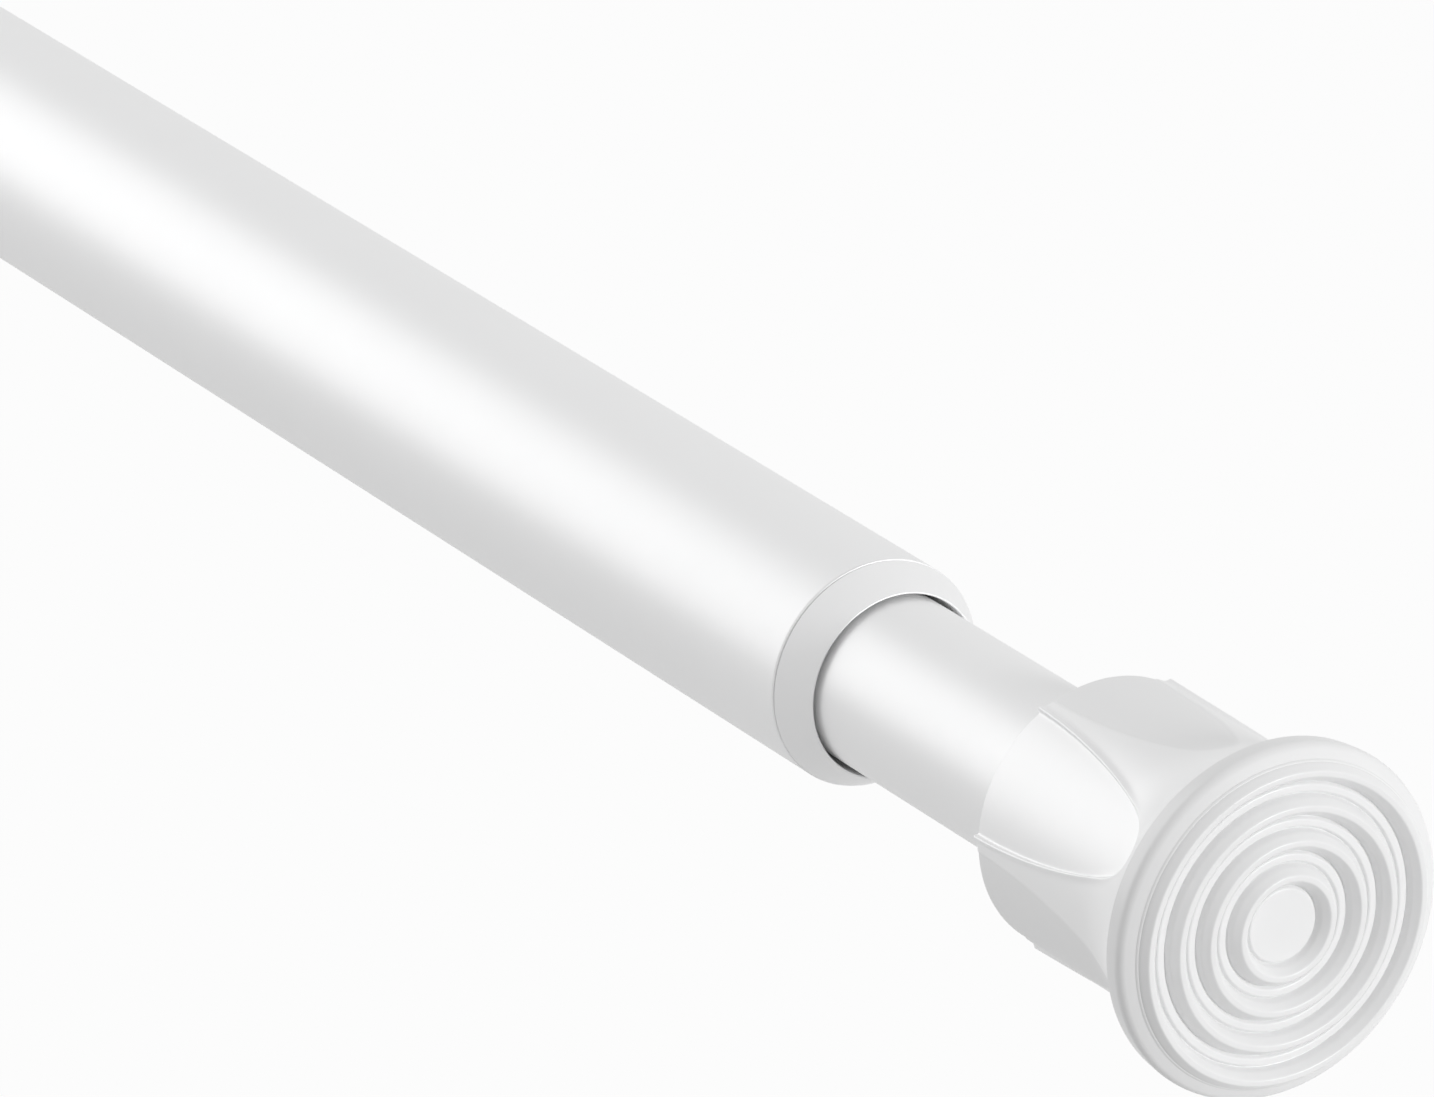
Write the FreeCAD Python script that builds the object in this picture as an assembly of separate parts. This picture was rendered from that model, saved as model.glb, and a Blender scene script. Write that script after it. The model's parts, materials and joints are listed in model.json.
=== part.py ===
import FreeCAD
import Part
import math
import os

# Spring tension rod for curtains, in millimetres.
# The rod lies along +X with +Z up. The origin is the centre of the wall face of the outer tube's end.
# Rest is the rod partly drawn out, unlocked, with its spring at full length.

Vector = FreeCAD.Vector
X_AXIS = Vector(1, 0, 0)
ORIGIN = Vector(0, 0, 0)

# Tubes, the inner one a step smaller all round, which leaves room for the collar
OUTER_TUBE_DIAMETER = 25.0
OUTER_TUBE_WALL = 0.6
OUTER_TUBE_LENGTH = 350.0
TUBE_STEP = 2.9
INNER_TUBE_DIAMETER = OUTER_TUBE_DIAMETER - 2 * TUBE_STEP
INNER_TUBE_WALL = 0.6
EXPOSED_LENGTH = 38.3
END_ROOM = 15.0

# Fits, each a radial gap
GLUED_GAP = 0.05
THREAD_GAP = 0.1
SLIDING_GAP = 0.25
LOCK_GAP = 0.3

# Wall pad, a soft disc with rings of ribs
PAD_RADIUS = 19.0
PAD_REAR_RADIUS = 18.75
PAD_RIM_LENGTH = 3.0
PAD_RIM_DROP = 0.4
PAD_RIM_ROUND = 1.3
PAD_WEB = 1.8
RIB_COUNT = 4
RIB_FIRST_RADIUS = 5.35
RIB_PITCH = 3.7
RIB_HEIGHT = 1.5
RIB_FOOT_WIDTH = 2.5
RIB_CREST_WIDTH = 1.4
PAD_STUD_RADIUS = 7.8
PAD_STUD_LENGTH = 4.5

# End hub, a round sleeve that flares out to the pad, with three arched windows through the flare
HUB_LENGTH = 29.4
SLEEVE_RADIUS = 14.68
SOCKET_DEPTH = 22.0
SPIGOT_RADIUS = 16.8
FLARE_REAR_RADIUS = 13.92
FLARE_SLOPE = 0.04
FLARE_STRAIGHT = 18.8
FLARE_FRONT_RADIUS = 18.6
FLARE_FLATNESS = 20.0
FLARE_ROUNDING = 1.4
FLARE_ROWS = 9
WINDOW_COUNT = 3
WINDOW_HALF_ANGLE = 28.0
WINDOW_LENGTH = 26.2
STUD_HOLE_DEPTH = 5.0
SOCKET_CHAMFER = 0.6
OUTER_HUB_TURN = 30.0
INNER_HUB_TURN = 32.6

# Collar in the mouth of the outer tube
COLLAR_PROUD = 0.1
COLLAR_RIM = 0.5
COLLAR_NOSE = 3.8
COLLAR_LIP_WIDTH = 0.45
COLLAR_LIP_ROUND = 0.3
COLLAR_MOUTH_GAP = 0.5
COLLAR_MOUTH_DEPTH = 3.0
COLLAR_SPIGOT_LENGTH = 14.0

# Guide plug on the inner tube's hidden end
PLUG_FLANGE_LENGTH = 6.0
PLUG_SPIGOT_LENGTH = 18.0
PLUG_CHAMFER = 0.8

# Lock spindle
SPINDLE_RADIUS = 3.0
SPINDLE_FLATS = 5.0
SPINDLE_TAIL_RADIUS = 2.5
SPINDLE_TAIL_SPARE = 1.0
SPINDLE_FRONT_SPARE = 1.0
SPINDLE_CHAMFER = 0.5
CLIP_GROOVE_RADIUS = 2.4

# Washers, nuts and the retaining clip
WASHER_THICKNESS = 1.2
SEAT_WASHER_RADIUS = 9.0
THRUST_WASHER_RADIUS = 7.0
NUT_ACROSS_FLATS = 10.0
NUT_THICKNESS = 5.0
TAIL_NUT_ACROSS_FLATS = 8.0
TAIL_NUT_THICKNESS = 4.0
CLIP_THICKNESS = 1.0
CLIP_RADIUS = 5.0
CLIP_MOUTH = 3.6

# Spring
SPRING_LENGTH = 43.0
SPRING_MEAN_RADIUS = 7.4
SPRING_WIRE_RADIUS = 0.9
SPRING_WIRE_SIDES = 6
SPRING_TURNS = 6

# Expansion sleeve and the cone that is drawn into it
SLEEVE_BASE = 6.0
FINGER_LENGTH = 20.0
FINGER_COUNT = 4
FINGER_SLIT = 1.8
SLEEVE_CHAMFER = 0.7
CONE_MOUTH_RADIUS = 9.2
CONE_HALF_ANGLE = 9.5
CONE_GAP = 0.1
CONE_LENGTH = 15.0
CONE_PROUD = 3.0
CONE_KEY_WIDTH = 1.5
CONE_KEY_LENGTH = 8.0
CONE_STOP_GAP = 1.5

# Places along the cap, from its wall face, and along the rod
CAP_VALLEY = RIB_HEIGHT
CAP_SPIGOT = CAP_VALLEY + PAD_WEB
CAP_FLARE = CAP_VALLEY + PAD_RIM_LENGTH
CAP_LENGTH = CAP_FLARE + HUB_LENGTH
CAP_SOCKET_FLOOR = CAP_LENGTH - SOCKET_DEPTH

OUTER_RADIUS = OUTER_TUBE_DIAMETER / 2
OUTER_BORE = OUTER_RADIUS - OUTER_TUBE_WALL
INNER_RADIUS = INNER_TUBE_DIAMETER / 2
INNER_BORE = INNER_RADIUS - INNER_TUBE_WALL

OUTER_TUBE_END = CAP_SOCKET_FLOOR + OUTER_TUBE_LENGTH
COLLAR_FRONT = OUTER_TUBE_END + COLLAR_NOSE
INNER_HUB_REAR = COLLAR_FRONT + EXPOSED_LENGTH
ROD_LENGTH = INNER_HUB_REAR + CAP_LENGTH
INNER_TUBE_END = INNER_HUB_REAR + SOCKET_DEPTH

# The lock, from the spindle's front end, which keeps its room when the rod is pushed right in
SPINDLE_START = CAP_SOCKET_FLOOR + END_ROOM + EXPOSED_LENGTH
STOP_NUT_START = SPINDLE_START + SPINDLE_FRONT_SPARE
CONE_START = STOP_NUT_START + NUT_THICKNESS + CONE_STOP_GAP
SLEEVE_START = CONE_START + CONE_PROUD
SLEEVE_END = SLEEVE_START + FINGER_LENGTH + SLEEVE_BASE
CLIP_START = SLEEVE_END + WASHER_THICKNESS
REAR_SEAT = CLIP_START + CLIP_THICKNESS
SPRING_START = REAR_SEAT + WASHER_THICKNESS
FRONT_SEAT = SPRING_START + SPRING_LENGTH
PLUG_START = FRONT_SEAT + WASHER_THICKNESS
INNER_TUBE_START = PLUG_START + PLUG_FLANGE_LENGTH
PLUG_END = INNER_TUBE_START + PLUG_SPIGOT_LENGTH
TAIL_NUT_START = PLUG_END + WASHER_THICKNESS
SPINDLE_END = TAIL_NUT_START + TAIL_NUT_THICKNESS + SPINDLE_TAIL_SPARE


class Profile:
    """A closed outline in the XZ plane, given as places along the rod and radii."""

    def __init__(self, x, radius):
        self.start = Vector(x, 0, radius)
        self.last = self.start
        self.edges = []

    def line(self, x, radius):
        point = Vector(x, 0, radius)
        self.edges.append(Part.LineSegment(self.last, point).toShape())
        self.last = point
        return self

    def arc(self, middle_x, middle_radius, x, radius):
        point = Vector(x, 0, radius)
        middle = Vector(middle_x, 0, middle_radius)
        self.edges.append(Part.Arc(self.last, middle, point).toShape())
        self.last = point
        return self

    def revolved(self):
        closing = Part.LineSegment(self.last, self.start).toShape()
        face = Part.Face(Part.Wire(self.edges + [closing]))
        return face.revolve(ORIGIN, X_AXIS, 360)


def rod(start, end, radius):
    return Part.makeCylinder(radius, end - start, Vector(start, 0, 0), X_AXIS)


def ring(start, end, radius, bore):
    return rod(start, end, radius).cut(rod(start, end, bore))


def around(angle, x, radius):
    """A point at a place and radius, turned about the rod from +Y towards +Z."""
    turn = math.radians(angle)
    return Vector(x, radius * math.cos(turn), radius * math.sin(turn))


def turned(shape, angle):
    copy = shape.copy()
    copy.rotate(ORIGIN, X_AXIS, angle)
    return copy


def hexagon(start, end, across_flats, bore):
    corner = across_flats / math.sqrt(3)
    corners = [around(60 * k, start, corner) for k in range(6)]
    wire = Part.makePolygon(corners + corners[:1])
    prism = Part.Face(wire).extrude(Vector(end - start, 0, 0))
    return prism.cut(rod(start, end, bore))


def make_pad():
    """The pad, with its wall face at x = 0."""
    half_foot = RIB_FOOT_WIDTH / 2
    half_crest = RIB_CREST_WIDTH / 2
    outline = Profile(CAP_VALLEY, 0)
    for rib in range(RIB_COUNT):
        radius = RIB_FIRST_RADIUS + rib * RIB_PITCH
        outline.line(CAP_VALLEY, radius - half_foot)
        outline.line(0, radius - half_crest)
        outline.line(0, radius + half_crest)
        outline.line(CAP_VALLEY, radius + half_foot)
    rim_top = CAP_VALLEY + PAD_RIM_DROP
    corner = PAD_RIM_ROUND * (1 - math.sqrt(0.5))
    outline.line(rim_top, PAD_RADIUS - PAD_RIM_ROUND)
    outline.arc(rim_top + corner, PAD_RADIUS - corner, rim_top + PAD_RIM_ROUND, PAD_RADIUS)
    outline.line(CAP_FLARE, PAD_REAR_RADIUS)
    outline.line(CAP_FLARE, SPIGOT_RADIUS + GLUED_GAP)
    outline.line(CAP_SPIGOT, SPIGOT_RADIUS + GLUED_GAP)
    outline.line(CAP_SPIGOT, PAD_STUD_RADIUS)
    outline.line(CAP_SPIGOT + PAD_STUD_LENGTH, PAD_STUD_RADIUS)
    outline.line(CAP_SPIGOT + PAD_STUD_LENGTH, 0)
    return outline.revolved()


def flare_radius(depth):
    """The flare's radius between two windows, at a depth in front of the hub's rear edge."""
    straight = FLARE_REAR_RADIUS + FLARE_SLOPE * depth
    beyond = max(0.0, depth - FLARE_STRAIGHT)
    reach = HUB_LENGTH - FLARE_STRAIGHT
    rise = FLARE_FRONT_RADIUS - FLARE_REAR_RADIUS - FLARE_SLOPE * HUB_LENGTH
    return straight + rise * (beyond / reach) ** 2


def flare_section(depth):
    """A rounded triangle whose corners lie under the windows, and which ends as a circle at the pad."""
    radius = flare_radius(depth)
    offset = FLARE_FLATNESS * (1 - depth / HUB_LENGTH) ** FLARE_ROUNDING
    step = 360 / WINDOW_COUNT
    half_step = math.radians(step / 2)
    across = (radius + offset) ** 2 - (offset * math.sin(half_step)) ** 2
    corner = math.sqrt(across) - offset * math.cos(half_step)
    x = CAP_LENGTH - depth
    sides = []
    for k in range(WINDOW_COUNT):
        first = around(k * step, x, corner)
        middle = around((k + 0.5) * step, x, radius)
        last = around((k + 1) * step, x, corner)
        sides.append(Part.Arc(first, middle, last).toShape())
    return Part.Wire(sides)


def window_outline(height):
    """Half an ellipse over the hub's rear edge, at a height above the axis, with radial walls."""
    half_width = height * math.tan(math.radians(WINDOW_HALF_ANGLE))
    tip = Vector(CAP_LENGTH - WINDOW_LENGTH, height, 0)
    rear = Vector(CAP_LENGTH, height, 0)
    side = Vector(0, 0, half_width)
    overrun = Vector(SOCKET_CHAMFER, 0, 0)
    ellipse = Part.Ellipse(tip, rear + side, rear)
    arch = Part.Arc(ellipse, -math.pi / 2, math.pi / 2).toShape()
    begin = arch.valueAt(arch.FirstParameter)
    end = arch.valueAt(arch.LastParameter)
    edges = [
        arch,
        Part.LineSegment(end, end + overrun).toShape(),
        Part.LineSegment(end + overrun, begin + overrun).toShape(),
        Part.LineSegment(begin + overrun, begin).toShape(),
    ]
    return Part.Wire(edges)


def make_hub(socket_radius):
    """The hub, with the wall face of its cap at x = 0 and its first window towards +Y."""
    depths = [HUB_LENGTH * row / FLARE_ROWS for row in range(FLARE_ROWS + 1)]
    flare = Part.makeLoft([flare_section(depth) for depth in depths], True)
    below = SLEEVE_RADIUS / 2
    above = PAD_RADIUS + RIB_PITCH
    window = Part.makeLoft([window_outline(below), window_outline(above)], True, True)
    window = window.cut(rod(0, CAP_LENGTH + SOCKET_CHAMFER, SLEEVE_RADIUS))
    for k in range(WINDOW_COUNT):
        flare = flare.cut(turned(window, 360 * k / WINDOW_COUNT))
    hub = flare.fuse(rod(CAP_FLARE, CAP_LENGTH, SLEEVE_RADIUS))
    hub = hub.fuse(rod(CAP_SPIGOT, CAP_FLARE, SPIGOT_RADIUS))
    socket = Profile(CAP_SOCKET_FLOOR, 0)
    socket.line(CAP_SOCKET_FLOOR, socket_radius)
    socket.line(CAP_LENGTH - SOCKET_CHAMFER, socket_radius)
    socket.line(CAP_LENGTH, socket_radius + SOCKET_CHAMFER)
    socket.line(CAP_LENGTH, 0)
    hub = hub.cut(socket.revolved())
    stud_hole = rod(CAP_SPIGOT, CAP_SPIGOT + STUD_HOLE_DEPTH, PAD_STUD_RADIUS + GLUED_GAP)
    return hub.cut(stud_hole).removeSplitter()


def at_inner_end(shape):
    """A cap piece turned round to face +X at the rod's far end."""
    copy = shape.copy()
    copy.rotate(ORIGIN, Vector(0, 0, 1), 180)
    copy.translate(Vector(ROD_LENGTH, 0, 0))
    return copy


def make_collar():
    rim_radius = OUTER_RADIUS + COLLAR_PROUD
    spigot_radius = OUTER_BORE - GLUED_GAP
    mouth_radius = INNER_RADIUS + COLLAR_MOUTH_GAP
    guide_radius = INNER_RADIUS + SLIDING_GAP
    lip_radius = mouth_radius + COLLAR_LIP_WIDTH
    spigot_start = OUTER_TUBE_END - COLLAR_SPIGOT_LENGTH
    mouth_start = COLLAR_FRONT - COLLAR_MOUTH_DEPTH
    corner = COLLAR_LIP_ROUND * (1 - math.sqrt(0.5))
    outline = Profile(spigot_start, guide_radius)
    outline.line(spigot_start, spigot_radius)
    outline.line(OUTER_TUBE_END, spigot_radius)
    outline.line(OUTER_TUBE_END, rim_radius)
    outline.line(OUTER_TUBE_END + COLLAR_RIM, rim_radius)
    outline.line(COLLAR_FRONT, lip_radius)
    outline.line(COLLAR_FRONT, mouth_radius + COLLAR_LIP_ROUND)
    outline.arc(
        COLLAR_FRONT - corner,
        mouth_radius + corner,
        COLLAR_FRONT - COLLAR_LIP_ROUND,
        mouth_radius,
    )
    outline.line(mouth_start, mouth_radius)
    outline.line(mouth_start - COLLAR_MOUTH_GAP, guide_radius)
    return outline.revolved()


def spindle_section(start, end, gap):
    """A round bar with two flats, opened all round by a gap."""
    bar = rod(start, end, SPINDLE_RADIUS + gap)
    width = SPINDLE_FLATS + 2 * gap
    reach = 2 * (SPINDLE_RADIUS + gap)
    slab = Part.makeBox(end - start, width, reach, Vector(start, -width / 2, -reach / 2))
    return bar.common(slab)


def make_guide_plug():
    flange_radius = OUTER_BORE - SLIDING_GAP
    spigot_radius = INNER_BORE - GLUED_GAP
    outline = Profile(PLUG_START, 0)
    outline.line(PLUG_START, flange_radius - PLUG_CHAMFER)
    outline.line(PLUG_START + PLUG_CHAMFER, flange_radius)
    outline.line(INNER_TUBE_START, flange_radius)
    outline.line(INNER_TUBE_START, spigot_radius)
    outline.line(PLUG_END - PLUG_CHAMFER, spigot_radius)
    outline.line(PLUG_END, spigot_radius - PLUG_CHAMFER)
    outline.line(PLUG_END, 0)
    return outline.revolved().cut(spindle_section(PLUG_START, PLUG_END, THREAD_GAP))


def make_spindle():
    outline = Profile(SPINDLE_START, 0)
    outline.line(SPINDLE_START, SPINDLE_RADIUS - SPINDLE_CHAMFER)
    outline.line(SPINDLE_START + SPINDLE_CHAMFER, SPINDLE_RADIUS)
    outline.line(CLIP_START, SPINDLE_RADIUS)
    outline.line(CLIP_START, CLIP_GROOVE_RADIUS)
    outline.line(REAR_SEAT, CLIP_GROOVE_RADIUS)
    outline.line(REAR_SEAT, SPINDLE_RADIUS)
    outline.line(SPRING_START, SPINDLE_RADIUS)
    outline.line(SPRING_START, 0)
    front = outline.revolved()
    shank = spindle_section(SPRING_START, PLUG_END, 0)
    tail = rod(PLUG_END, SPINDLE_END, SPINDLE_TAIL_RADIUS)
    return front.fuse([shank, tail]).removeSplitter()


def make_clip():
    """An open ring that snaps into the spindle's groove from the side."""
    clip = ring(CLIP_START, REAR_SEAT, CLIP_RADIUS, CLIP_GROOVE_RADIUS + GLUED_GAP)
    mouth = Part.makeBox(
        CLIP_THICKNESS, CLIP_MOUTH, CLIP_RADIUS, Vector(CLIP_START, -CLIP_MOUTH / 2, 0)
    )
    return clip.cut(mouth)


def make_spring():
    height = SPRING_LENGTH - 2 * SPRING_WIRE_RADIUS
    path = Part.makeHelix(height / SPRING_TURNS, height, SPRING_MEAN_RADIUS)
    corners = []
    for side in range(SPRING_WIRE_SIDES):
        turn = 2 * math.pi * side / SPRING_WIRE_SIDES
        reach = SPRING_MEAN_RADIUS + SPRING_WIRE_RADIUS * math.cos(turn)
        corners.append(Vector(reach, 0, SPRING_WIRE_RADIUS * math.sin(turn)))
    section = Part.makePolygon(corners + corners[:1])
    spring = Part.Wire(path.Edges).makePipeShell([section], True, True)
    spring.rotate(ORIGIN, Vector(0, 1, 0), 90)
    spring.translate(Vector(SPRING_START + SPRING_WIRE_RADIUS, 0, 0))
    return spring


def cone_radius(x):
    """The radius of the expansion sleeve's tapered bore at a place along the rod."""
    return CONE_MOUTH_RADIUS - (x - SLEEVE_START) * math.tan(math.radians(CONE_HALF_ANGLE))


def make_expansion_sleeve():
    radius = OUTER_BORE - LOCK_GAP
    finger_end = SLEEVE_START + FINGER_LENGTH
    bore = SPINDLE_RADIUS + THREAD_GAP
    outline = Profile(SLEEVE_START, CONE_MOUTH_RADIUS)
    outline.line(SLEEVE_START, radius - SLEEVE_CHAMFER)
    outline.line(SLEEVE_START + SLEEVE_CHAMFER, radius)
    outline.line(SLEEVE_END - SLEEVE_CHAMFER, radius)
    outline.line(SLEEVE_END, radius - SLEEVE_CHAMFER)
    outline.line(SLEEVE_END, bore)
    outline.line(finger_end, bore)
    outline.line(finger_end, cone_radius(finger_end))
    sleeve = outline.revolved()
    slit = Part.makeBox(
        FINGER_LENGTH, FINGER_SLIT, radius, Vector(SLEEVE_START, -FINGER_SLIT / 2, 0)
    )
    for k in range(FINGER_COUNT):
        sleeve = sleeve.cut(turned(slit, 360 * k / FINGER_COUNT))
    return sleeve


def make_wedge_cone():
    """A cone with keys that run in the sleeve's slits, and a pocket for its nut."""
    end = CONE_START + CONE_LENGTH
    outline = Profile(CONE_START, 0)
    outline.line(CONE_START, cone_radius(CONE_START) - CONE_GAP)
    outline.line(end, cone_radius(end) - CONE_GAP)
    outline.line(end, 0)
    cone = outline.revolved()
    key_reach = OUTER_BORE - 2 * LOCK_GAP
    key = Part.makeBox(
        CONE_KEY_LENGTH, CONE_KEY_WIDTH, key_reach, Vector(CONE_START, -CONE_KEY_WIDTH / 2, 0)
    )
    for k in range(FINGER_COUNT):
        cone = cone.fuse(turned(key, 360 * k / FINGER_COUNT))
    pocket_end = CONE_START + NUT_THICKNESS
    across = NUT_ACROSS_FLATS + 2 * GLUED_GAP
    pocket = hexagon(CONE_START, pocket_end, across, SPINDLE_RADIUS)
    cone = cone.cut(pocket)
    return cone.cut(rod(CONE_START, end, SPINDLE_RADIUS + THREAD_GAP)).removeSplitter()


def make_nodes():
    pad = make_pad()
    outer_hub = make_hub(OUTER_RADIUS + GLUED_GAP)
    inner_hub = make_hub(INNER_RADIUS + GLUED_GAP)
    thread_bore = SPINDLE_RADIUS + THREAD_GAP
    tail_bore = SPINDLE_TAIL_RADIUS + THREAD_GAP
    nut_end = CONE_START + NUT_THICKNESS
    return {
        "outer_tube": ring(CAP_SOCKET_FLOOR, OUTER_TUBE_END, OUTER_RADIUS, OUTER_BORE),
        "tube_collar": make_collar(),
        "outer_end_hub": turned(outer_hub, OUTER_HUB_TURN),
        "outer_end_pad": pad,
        "inner_tube": ring(INNER_TUBE_START, INNER_TUBE_END, INNER_RADIUS, INNER_BORE),
        "inner_end_hub": at_inner_end(turned(inner_hub, INNER_HUB_TURN)),
        "inner_end_pad": at_inner_end(pad),
        "guide_plug": make_guide_plug(),
        "spring_washer_front": ring(FRONT_SEAT, PLUG_START, SEAT_WASHER_RADIUS, thread_bore),
        "spindle": make_spindle(),
        "compression_spring": make_spring(),
        "spring_washer_rear": ring(REAR_SEAT, SPRING_START, SEAT_WASHER_RADIUS, thread_bore),
        "retaining_clip": make_clip(),
        "thrust_washer": ring(SLEEVE_END, CLIP_START, THRUST_WASHER_RADIUS, thread_bore),
        "tail_washer": ring(PLUG_END, TAIL_NUT_START, THRUST_WASHER_RADIUS, tail_bore),
        "tail_nut": hexagon(
            TAIL_NUT_START,
            TAIL_NUT_START + TAIL_NUT_THICKNESS,
            TAIL_NUT_ACROSS_FLATS,
            tail_bore,
        ),
        "stop_nut": hexagon(
            STOP_NUT_START, STOP_NUT_START + NUT_THICKNESS, NUT_ACROSS_FLATS, thread_bore
        ),
        "expansion_sleeve": make_expansion_sleeve(),
        "wedge_cone": make_wedge_cone(),
        "wedge_nut": hexagon(CONE_START, nut_end, NUT_ACROSS_FLATS, thread_bore),
    }


def main():
    os.makedirs("parts", exist_ok=True)
    for name, shape in make_nodes().items():
        shape.exportStep("parts/" + name + ".step")


main()
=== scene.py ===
import json
import math
from collections import namedtuple

import bmesh
import bpy
import numpy as np
from bpy.props import FloatProperty, FloatVectorProperty, IntProperty, PointerProperty
from mathutils import Matrix, Vector


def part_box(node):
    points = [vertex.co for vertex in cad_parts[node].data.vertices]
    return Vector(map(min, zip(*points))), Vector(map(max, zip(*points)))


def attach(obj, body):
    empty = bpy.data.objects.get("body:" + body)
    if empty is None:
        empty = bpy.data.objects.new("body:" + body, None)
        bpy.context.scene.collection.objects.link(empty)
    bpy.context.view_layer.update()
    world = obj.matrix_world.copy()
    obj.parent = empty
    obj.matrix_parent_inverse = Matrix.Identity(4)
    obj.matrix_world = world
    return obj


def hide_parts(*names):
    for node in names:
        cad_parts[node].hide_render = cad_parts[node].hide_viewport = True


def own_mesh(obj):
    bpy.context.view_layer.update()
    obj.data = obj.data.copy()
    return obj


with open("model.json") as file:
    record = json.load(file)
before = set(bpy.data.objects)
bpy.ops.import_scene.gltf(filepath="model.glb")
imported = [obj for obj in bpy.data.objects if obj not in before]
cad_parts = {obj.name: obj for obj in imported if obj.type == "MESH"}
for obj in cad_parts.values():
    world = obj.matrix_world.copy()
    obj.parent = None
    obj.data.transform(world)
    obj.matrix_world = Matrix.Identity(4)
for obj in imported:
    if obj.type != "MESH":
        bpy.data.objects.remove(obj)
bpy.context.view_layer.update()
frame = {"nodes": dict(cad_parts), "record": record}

bl_info = {
    "name": "Spring tension rod",
    "version": (1, 0, 0),
    "blender": (4, 5, 0),
    "location": "3D View > Sidebar > Rod",
    "description": "Dresses the spring tension rod: tubes, collar, end caps, ribbed pads and the lock inside",
    "category": "Object",
}

MILLIMETRE = 0.001

# Picture and camera, in pixels, millimetres of sensor and metres
IMAGE_WIDTH = 1434
IMAGE_HEIGHT = 1097
SENSOR_WIDTH = 36.0
CLIP_START = 0.01
CLIP_END = 50.0

# Meshes: seams and slivers in metres, smooth shading in degrees
MERGE_DISTANCE = 1e-7
SLIVER_LENGTH = 1e-8
FACE_SEAM = 2e-6
NEVER_ZERO = 1e-9
GRID_HALF = 0.5
SMOOTH_ANGLE = 35.0
PAD_SMOOTH_ANGLE = 40.0
SPRING_SMOOTH_ANGLE = 60.0

# Materials
WHITE = (1.0, 1.0, 1.0, 1.0)
# Point attribute: share of a hub's recessed panel, which the material makes rougher and darkens as painted
# shade
PANEL_MATTE_AND_SHADE = "matte"
NOISE_MIDDLE = 0.5
MOTTLE_DETAIL = 3.0
GRAIN_DETAIL = 2.0


def span(node):
    """Where a round CAD node starts and ends along the rod, and its radius."""
    low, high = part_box(node)
    return low.x, high.x, max(high.y, high.z)


# Places of the CAD nodes
OUTER_START, OUTER_END, OUTER_RADIUS = span("outer_tube")
INNER_START, INNER_END, INNER_RADIUS = span("inner_tube")
COLLAR_START, COLLAR_FRONT = span("tube_collar")[:2]
HUB_SPIGOT, HUB_REAR, HUB_FRONT_RADIUS = span("outer_end_hub")
PAD_FACE, PAD_STUD_END, PAD_RADIUS = span("outer_end_pad")
SPRING_START, SPRING_END, SPRING_RADIUS = span("compression_spring")
SLEEVE_START, SLEEVE_END, SLEEVE_REACH = span("expansion_sleeve")
ROD_LENGTH = span("inner_end_pad")[1]


def length(name, default, description):
    return FloatProperty(
        name=name,
        description=description,
        default=default,
        min=0.0,
        precision=5,
        subtype="DISTANCE",
        unit="LENGTH",
    )


def angle(name, default, description):
    return FloatProperty(
        name=name, description=description, default=math.radians(default), subtype="ANGLE", unit="ROTATION"
    )


def count(name, default, description):
    return IntProperty(name=name, description=description, default=default, min=1)


def plain(name, default, description):
    return FloatProperty(name=name, description=description, default=default, precision=4)


def colour(name, default, description):
    return FloatVectorProperty(
        name=name, description=description, default=default, size=3, min=0.0, max=1.0, subtype="COLOR"
    )


class TubeSizes(bpy.types.PropertyGroup):
    wall: length("Wall", 0.6 * MILLIMETRE, "Thickness of both tubes' walls")
    rounding: length("Edge rounding", 0.15 * MILLIMETRE, "Rounding of the cut ends")
    segments: count("Segments", 192, "Faces around a tube")


class CollarSizes(bpy.types.PropertyGroup):
    groove_width: length("Groove width", 0.18 * MILLIMETRE, "Width of the fine groove in front of the rim")
    groove_depth: length("Groove depth", 0.6 * MILLIMETRE, "Depth of the fine groove in front of the rim")
    set_back: length("Set back", 0.2 * MILLIMETRE, "How far the rim lies behind the CAD tube's end")
    reach: length("Reach", 0.3 * MILLIMETRE, "How far the nose reaches past the CAD collar")
    rim: length("Rim", 0.14 * MILLIMETRE, "Straight length of the rim that covers the tube's cut end")
    fit: length("Fit", 0.05 * MILLIMETRE, "Gap between the collar and the outer tube's bore")
    mouth_gap: length("Mouth gap", 0.5 * MILLIMETRE, "Gap around the inner tube at the mouth")
    guide_gap: length("Guide gap", 0.25 * MILLIMETRE, "Gap around the inner tube in the guide bore")
    mouth_depth: length("Mouth depth", 3.0 * MILLIMETRE, "Depth of the wider mouth")
    lip: length("Lip", 0.2 * MILLIMETRE, "Width of the collar's front face")
    rounding: length("Edge rounding", 0.25 * MILLIMETRE, "Rounding of the rim and the lip")


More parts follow.
